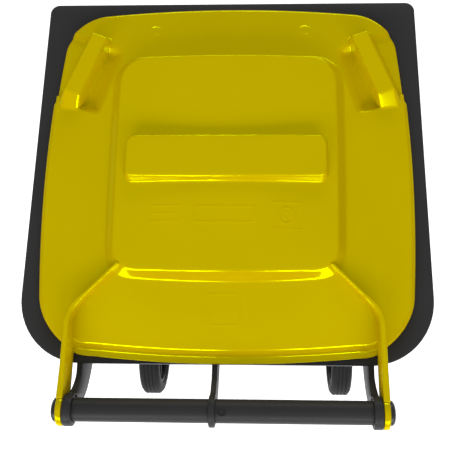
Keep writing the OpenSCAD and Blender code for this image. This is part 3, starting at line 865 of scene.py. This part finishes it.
# Places along a bracket, from the rear wall to the bar.
BRACKET_YS = (THROAT_YR - 2, Y_REAR, HINGE_Y - 34, HINGE_Y - 19, HINGE_Y - 9, HINGE_Y - 2)


def wall_outline(t, step, inset):
    """One ring of the container. t is 0 at the collar's foot and 1 at the base."""
    r = THROAT_R - 4.0 * t - inset * 0.8
    hw = THROAT_HW - step - BASE_TAPER * t - inset
    yf = THROAT_YF + step + FRONT_TAPER * t + inset
    yr = THROAT_YR - step - REAR_TAPER * t - inset
    return rounded_outline(hw, yf, yr, r, r, seg=WALL_SEG, edge=WALL_EDGE)


def container(inset, bottom, top, corner):
    """A closed loft of the container, for its outer or its inner face."""
    rings = []
    for k in range(7):
        a = math.radians(90 * k / 6)
        turn = wall_outline(1, COLLAR_STEP, inset + corner * (1 - math.sin(a)))
        rings.append(at_z(turn, bottom + corner * (1 - math.cos(a))))
    z0 = bottom + corner
    shoulder0 = COLLAR_Z - 3
    for k in range(1, 13):
        z = z0 + (shoulder0 - z0) * k / 12
        rings.append(at_z(wall_outline((shoulder0 - z) / (shoulder0 - z0), COLLAR_STEP, inset), z))
    for k in range(1, 9):
        u = k / 8
        step = COLLAR_STEP * (1 - u * u * (3 - 2 * u))
        rings.append(at_z(wall_outline(0, step, inset), shoulder0 + SHOULDER_H * u))
    rings.append(at_z(wall_outline(0, 0, inset), top))
    return loft(rings)


def recess(grow, half):
    """The room for the axle at the foot of the rear wall, with a sloping roof."""
    y0, z0, far = RECESS_Y - grow, RECESS_Z + grow * 1.14, THROAT_YR + 80
    prof = [(y0, -10), (far, -10), (far, z0 + (far - y0) * 0.55), (y0, z0)]
    return x_plate(-half, half, round_profile(prof, [0, 0, 0, 10], 6))


def cut(target, cutter):
    """Takes the cutter out of the target and keeps the outcome as plain mesh."""
    m = target.modifiers.new("cut", "BOOLEAN")
    m.operation = "DIFFERENCE"
    m.solver = "EXACT"
    m.object = cutter
    dg = bpy.context.evaluated_depsgraph_get()
    mesh = bpy.data.meshes.new_from_object(target.evaluated_get(dg))
    target.modifiers.remove(m)
    target.data = mesh
    bpy.data.objects.remove(cutter)


def make_shell():
    """The container: its outer form less its inner one, each less the axle's recess."""
    outer = join_parts("bin_shell", [container(0, FLOOR_UNDER, RIM_Z - 3, 9.0)], GREY)
    cut(outer, join_parts("cutter_a", [recess(0, RIM_HW)], GREY))
    hollow = join_parts("cutter_b", [container(WALL, FLOOR_UNDER + WALL, RIM_Z + 9, 7.0)], GREY)
    cut(hollow, join_parts("cutter_c", [recess(WALL, RIM_HW)], GREY))
    cut(outer, hollow)
    return outer


def rim_ring():
    """The rim plate with its rounded edge and turned-down lip, deeper at the front for a lifter's comb."""
    def throat(inset, z):
        r = THROAT_R - inset * 0.8
        pts = rounded_outline(THROAT_HW - inset, THROAT_YF + inset, THROAT_YR - inset, r, r,
                              seg=WALL_SEG, edge=WALL_EDGE)
        return at_z(pts, z)

    def rim(inset, z=None, drop=0.0):
        pts = rounded_outline(RIM_HW - inset, Y_FRONT + inset, Y_REAR - inset, RIM_RF - inset,
                              RIM_RR - inset, seg=WALL_SEG, edge=WALL_EDGE)
        if z is not None:
            return at_z(pts, z)
        out = []
        for x, y in pts:
            deep = LIP_DROP + COMB_DROP * min(max((Y_FRONT + 90 - y) / 44.0, 0), 1)
            out.append((x, y, RIM_Z - deep + drop))
        return out

    loops = [throat(4.3, RIM_Z - 4.5), throat(4.3, RIM_Z - 0.9), throat(3.5, RIM_Z), rim(1.9, RIM_Z),
             rim(1.0, RIM_Z - 0.25), rim(0.3, RIM_Z - 0.9), rim(0, RIM_Z - 2.0), rim(0, None, 1.2),
             rim(0.4, None, 0.3), rim(1.2, None, 0), rim(2.8, None, 0), rim(3.6, None, 0.3),
             rim(4.0, None, 1.2), rim(4.0, RIM_Z - 5.5), rim(4.4, RIM_Z - 4.4), rim(5.5, RIM_Z - 4.0),
             throat(2.0, RIM_Z - 4.0)]
    n = len(loops[0])
    verts = [p for ring in loops for p in ring]
    faces = []
    for k in range(len(loops)):
        k2 = (k + 1) % len(loops)
        for i in range(n):
            j = (i + 1) % n
            faces.append([k * n + i, k * n + j, k2 * n + j, k2 * n + i])
    return verts, faces


def slab(x0, x1, y0, y1, z0, z1):
    """An upright flat web."""
    return x_plate(x0, x1, [(y0, z0), (y1, z0), (y1, z1), (y0, z1)])


def along(values, k, t):
    """A point on the smooth curve through the values, t of the way from value k to the next."""
    p0, p1 = values[max(k - 1, 0)], values[k]
    p2, p3 = values[k + 1], values[min(k + 2, len(values) - 1)]
    return [0.5 * ((2 * q1) + (q2 - q0) * t + (2 * q0 - 5 * q1 + 4 * q2 - q3) * t * t +
                   (3 * q1 - q0 - 3 * q2 + q3) * t ** 3)
            for q0, q1, q2, q3 in zip(p0, p1, p2, p3)]


def end_bracket():
    """A plate from the rear wall up to the bar, thinner by the wall and flared at its eye."""
    low_zs = (RIM_Z - 58.0, RIM_Z - 48.0, RIM_Z - 41.0, RIM_Z - 30.0, RIM_Z - 15.5, HINGE_Z - 16.6)
    high_zs = (RIM_Z - 2.0, RIM_Z - 2.0, RIM_Z - 0.5, RIM_Z + 13.0, HINGE_Z + 12.5, HINGE_Z + 16.8)
    low, high = list(zip(BRACKET_YS, low_zs)), list(zip(BRACKET_YS, high_zs))
    outs = [(BRACKET_X - inset,) for inset in (3.0, 3.0, 3.0, 2.2, 0.6, 0.0)]
    x_in = BRACKET_X - BRACKET_T
    rings = []
    steps = 6
    s = 1.3
    for k in range(len(low) - 1):
        for i in range(steps if k < len(low) - 2 else steps + 1):
            t = i / steps
            (yl, zl), (yh, zh), (x_out,) = along(low, k, t), along(high, k, t), along(outs, k, t)
            rings.append([(x_in, yl, zl + s), (x_in + s * 0.3, yl, zl + s * 0.3), (x_in + s, yl, zl),
                          (x_out - s, yl, zl), (x_out - s * 0.3, yl, zl + s * 0.3), (x_out, yl, zl + s),
                          (x_out, yh, zh - s), (x_out - s * 0.3, yh, zh - s * 0.3), (x_out - s, yh, zh),
                          (x_in + s, yh, zh), (x_in + s * 0.3, yh, zh - s * 0.3), (x_in, yh, zh - s)])
    return loft(rings)


def mid_bracket(x0, x1):
    """The middle bracket's plate."""
    low_zs = (RIM_Z - 50.0, RIM_Z - 39.0, RIM_Z - 32.5, RIM_Z - 25.0, RIM_Z - 14.0, HINGE_Z - 16.0)
    low = list(zip(BRACKET_YS, low_zs))
    high = [(HINGE_Y - 2, HINGE_Z + 16.0), (HINGE_Y - 10, HINGE_Z + 12.0), (HINGE_Y - 19, RIM_Z + 13.0),
            (HINGE_Y - 34, RIM_Z - 0.5), (Y_REAR, RIM_Z - 2.0), (THROAT_YR - 2, RIM_Z - 2.0)]
    return x_plate(x0, x1, round_profile(low + high, 8.0, 5))


def eye(x0, x1, y, z, r0, r1, s=1.4):
    """A pierced boss between x0 and x1, with outer edges rounded by s."""
    prof = [(x0, r0 + 0.5), (x0, r1 - s), (x0 + s * 0.3, r1 - s * 0.3), (x0 + s, r1), (x1 - s, r1),
            (x1 - s * 0.3, r1 - s * 0.3), (x1, r1 - s), (x1, r0 + 0.5), (x1 - 0.5, r0), (x0 + 0.5, r0)]
    return revolve_x(prof, y, z, 96)


def axle_rib(x0, x1):
    """A web in the recess that carries the axle."""
    prof = [(RECESS_Y - 2, AXLE_Z - 66), (AXLE_Y - 4, AXLE_Z - 21), (AXLE_Y + 4, AXLE_Z + 21),
            (AXLE_Y - 20, RECESS_Z + 18), (RECESS_Y - 2, RECESS_Z - 2)]
    return x_plate(x0, x1, round_profile(prof, [0, 12, 6, 6, 0], 5))


def make_fittings():
    """Brackets, axle ribs, webs under the rim and the front foot, all moulded with the body."""
    parts = []
    for side in (1, -1):
        group = [end_bracket(),
                 eye(BRACKET_X - BRACKET_T, BRACKET_X, HINGE_Y, HINGE_Z, BAR_R + EYE_GAP, END_EYE_R)]
        group += [axle_rib(x, x + AXLE_RIB_T) for x in AXLE_RIB_XS]
        group += [eye(x, x + AXLE_RIB_T, AXLE_Y, AXLE_Z, AXLE_R + EYE_GAP, AXLE_EYE_R, 0.8)
                  for x in AXLE_RIB_XS]
        for x in COMB_WEB_XS:
            group.append(slab(x, x + 4, Y_FRONT + 2, THROAT_YF + 1, RIM_Z - 54, RIM_Z - 3))
        for k in range(4):
            y = Y_FRONT + 110 + k * (Y_REAR - Y_FRONT - 230) / 3
            group.append(slab(THROAT_HW - 2, RIM_HW - 2, y, y + 4, RIM_Z - 22, RIM_Z - 3))
        parts += [mirrored(p) for p in group] if side < 0 else group
    parts.append(mid_bracket(MID_X0 + 0.4, MID_X1 - 0.4))
    parts.append(eye(MID_X0, MID_X1, HINGE_Y, HINGE_Z, BAR_R + EYE_GAP, MID_EYE_R))
    foot_hw = THROAT_HW - BASE_TAPER - 41.0
    foot_y = THROAT_YF + COLLAR_STEP + FRONT_TAPER + 9
    parts.append(slab(-foot_hw, foot_hw, foot_y, foot_y + 26, 0, FLOOR_UNDER + 1))
    return parts


shell = make_shell()
sharpen(shell.data, 38)
rim = join_parts("bin_rim", [rim_ring()], GREY)
sharpen(rim.data, 50)
fittings = join_parts("bin_fittings", make_fittings(), GREY)
sharpen(fittings.data, 40)
bevel(fittings, 0.6, 2, 50)
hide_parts("body")
for ob in (shell, rim, fittings):
    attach(ob, "bin")


# ---------------------------------------------------------------- tyres

def tyre_profile():
    """Flat tread with three grooves and bevelled shoulders, as (x, radius) points in a closed loop."""
    hw, r = TYRE_HW - 1.8, WHEEL_R
    tread = 15.2
    half = [(17.5, r - 23.8), (hw - 0.8, r - 23.0), (hw, r - 21.5), (hw, r - 9.0), (hw - 0.6, r - 6.5),
            (tread + 1.6, r - 1.9), (tread, r - 0.6), (tread - 1.6, r)]
    pts = [(-x, radius) for x, radius in half]
    for g in (-8.0, 0.0, 8.0):
        pts += [(g - 1.6, r), (g - 1.2, r - 1.6), (g + 1.2, r - 1.6), (g + 1.6, r)]
    pts += half[::-1]
    return pts


for label in ("right", "left"):
    part = revolve_x([(WHEEL_X + x, r) for x, r in tyre_profile()], AXLE_Y, AXLE_Z, 144)
    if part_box(f"tyre_{label}")[0].x < 0:
        part = mirrored(part)
    tyre = join_parts(f"tyre_skin_{label}", [part], RUBBER)
    sharpen(tyre.data, 35)
    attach(tyre, f"wheel_{label}_body")
    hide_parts(f"tyre_{label}")


# ---------------------------------------------------------------- carried-over nodes

def repaint(node, material):
    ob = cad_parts[node]
    if not ob.material_slots:
        ob.data.materials.append(material)
    for s in ob.material_slots:
        s.material = material


repaint("handle_bar", GREY)
repaint("axle", STEEL)
for side in ("left", "right"):
    repaint(f"hinge_pin_{side}", BLACK)
    repaint(f"axle_spacer_{side}", BLACK)
    repaint(f"hub_cap_{side}", BLACK)
    repaint(f"wheel_{side}", WHEEL)
    repaint(f"lock_pin_{side}", STEEL)
    repaint(f"lock_spring_{side}", WIRE)


# ---------------------------------------------------------------- stage and light

FLOOR_HALF = 14.0
FLOOR_GLOW = 0.66
SKY_BASE, SKY_SIDE, SKY_REAR, SKY_TOP = 0.16, 0.04, -0.06, 0.37


def floor_material():
    mat, nt, bsdf = new_material("floor_white")
    new, link = nt.nodes.new, nt.links.new
    coord = new("ShaderNodeTexCoord")
    n = new("ShaderNodeTexNoise")
    n.inputs["Scale"].default_value = 3.0
    link(coord.outputs["Object"], n.inputs["Vector"])
    ramp = new("ShaderNodeValToRGB")
    ramp.color_ramp.elements[0].color = (0.90, 0.90, 0.90, 1)
    ramp.color_ramp.elements[1].color = (0.93, 0.93, 0.93, 1)
    link(n.outputs["Fac"], ramp.inputs["Fac"])
    link(ramp.outputs["Color"], bsdf.inputs["Base Color"])
    bsdf.inputs["Roughness"].default_value = 0.9
    bsdf.inputs["Specular IOR Level"].default_value = 0.1
    # The floor glows near the bin only, as if lit from below.
    away = new("ShaderNodeVectorMath")
    away.operation = "LENGTH"
    link(coord.outputs["Object"], away.inputs[0])
    pool = new("ShaderNodeMapRange")
    pool.interpolation_type = "SMOOTHSTEP"
    pool.inputs["From Min"].default_value = 1.1
    pool.inputs["From Max"].default_value = 3.0
    pool.inputs["To Min"].default_value = FLOOR_GLOW
    pool.inputs["To Max"].default_value = 0.12
    link(away.outputs["Value"], pool.inputs["Value"])
    bsdf.inputs["Emission Color"].default_value = (1, 1, 1, 1)
    link(pool.outputs["Result"], bsdf.inputs["Emission Strength"])
    return mat


def make_stage():
    mesh = bpy.data.meshes.new("floor")
    corners = [(x * FLOOR_HALF, y * FLOOR_HALF, FLOOR_Z) for x, y in ((-1, -1), (1, -1), (1, 1), (-1, 1))]
    mesh.from_pydata(corners, [], [(0, 1, 2, 3)])
    mesh.materials.append(floor_material())
    ob = bpy.data.objects.new("floor", mesh)
    bpy.context.collection.objects.link(ob)
    # The studio's light by direction: brightest overhead, a little brighter at the front than behind.
    world = bpy.data.worlds.new("studio")
    bpy.context.scene.world = world
    world.use_nodes = True
    nt = world.node_tree
    bg = nt.nodes.get("Background")
    coord = nt.nodes.new("ShaderNodeTexCoord")
    split = nt.nodes.new("ShaderNodeSeparateXYZ")
    nt.links.new(coord.outputs["Generated"], split.inputs[0])
    value = None
    for axis, gain in (("X", SKY_SIDE), ("Y", SKY_REAR), ("Z", SKY_TOP)):
        m = nt.nodes.new("ShaderNodeMath")
        m.operation = "MULTIPLY_ADD"
        nt.links.new(split.outputs[axis], m.inputs[0])
        m.inputs[1].default_value = gain
        if value is None:
            m.inputs[2].default_value = SKY_BASE
        else:
            nt.links.new(value, m.inputs[2])
        value = m.outputs[0]
    low = nt.nodes.new("ShaderNodeMath")
    low.operation = "MAXIMUM"
    low.inputs[1].default_value = 0.03
    nt.links.new(value, low.inputs[0])
    nt.links.new(low.outputs[0], bg.inputs[1])
    bg.inputs[0].default_value = (1.0, 1.0, 1.0, 1)


def area_light(name, place, size_x, size_y, power):
    """A soft box, placed in metres and aimed at the rim's height above the origin."""
    data = bpy.data.lights.new(name, "AREA")
    data.shape = "RECTANGLE"
    data.size, data.size_y = size_x, size_y
    data.energy = power
    ob = bpy.data.objects.new(name, data)
    ob.location = place
    d = Vector((0, 0, RIM_Z * MM)) - Vector(place)
    ob.rotation_mode = "QUATERNION"
    ob.rotation_quaternion = d.to_track_quat("-Z", "Y")
    bpy.context.collection.objects.link(ob)


make_stage()
for label, side in (("right", 1), ("left", -1)):
    area_light(f"rear_softbox_{label}", (side * 1.30, 3.0, 2.15), 2.2, 1.1, 58)
area_light("front_softbox", (-0.3, -2.8, 1.9), 2.6, 0.7, 28)

scene = bpy.context.scene
scene.view_settings.view_transform = "Standard"
scene.view_settings.look = "None"
